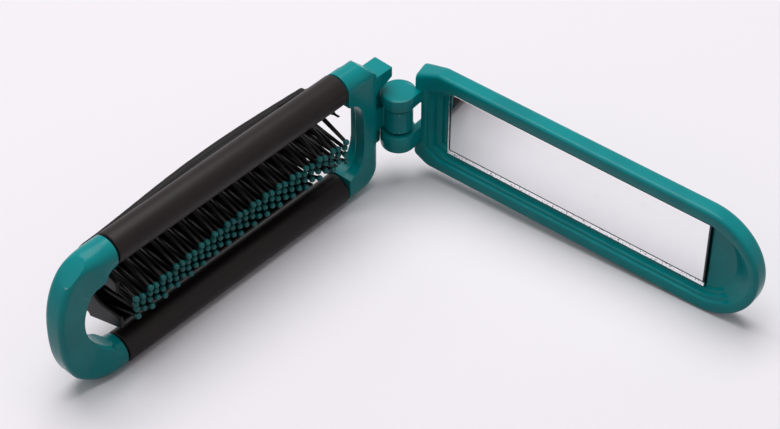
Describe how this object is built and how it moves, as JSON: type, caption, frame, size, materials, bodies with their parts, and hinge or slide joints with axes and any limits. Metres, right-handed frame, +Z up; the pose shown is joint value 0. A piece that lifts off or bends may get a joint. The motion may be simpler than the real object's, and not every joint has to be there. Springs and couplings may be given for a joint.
{
  "type": "folding pocket hairbrush with mirror",
  "caption": "Pocket hairbrush with ball-tipped pins between side rails and a mirror lid that folds over them on an end hinge.",
  "frame": {"origin": "centre of the bounding box, on the surface it stands on, in the pictured open pose", "axes": "+Z up, nearly along the hinge axis; the brush half runs along -X from the hinge and the mirror lid runs along -Y; the brush's back faces +Y"},
  "size_m": [0.116, 0.1124, 0.0377],
  "materials": {
    "teal_plastic": "satin gloss moulded plastic",
    "soft_black_sleeve": "soft satin",
    "black_plate_plastic": "satin moulded plastic",
    "black_pin_nylon": "satin nylon pins with ball tips",
    "silvered_glass": "polished",
    "adhesive_foam": "matte foam tape",
    "steel": "drawn pin"
  },
  "bodies": {
    "brush_frame": {"hinge_end_cap": "teal_plastic", "far_end_cap": "teal_plastic", "upper_rail_sleeve": "soft_black_sleeve", "lower_rail_sleeve": "soft_black_sleeve"},
    "bristle_carriage": {"bristle_plate": "black_plate_plastic", "bristle_pad_1": "black_pin_nylon", "bristle_pad_2": "black_pin_nylon", "bristle_pad_3": "black_pin_nylon", "bristle_pad_4": "black_pin_nylon"},
    "mirror_lid": {"mirror_frame": "teal_plastic", "hinge_pin": "steel", "mirror_glass": "silvered_glass", "mirror_adhesive_pad": "adhesive_foam"}
  },
  "joints": [
    {"name": "lid_hinge", "type": "hinge", "parent": "brush_frame", "child": "mirror_lid", "pos_m": [0.04312, 0.03868, -0.00024], "axis": [0, -0.0503, 0.9987], "range_deg": [-94.5, 85.4]},
    {"name": "bristle_slide", "type": "slide", "parent": "brush_frame", "child": "bristle_carriage", "axis": [0, -0.9987, -0.0503], "range_m": [0, 0.003]}
  ]
}
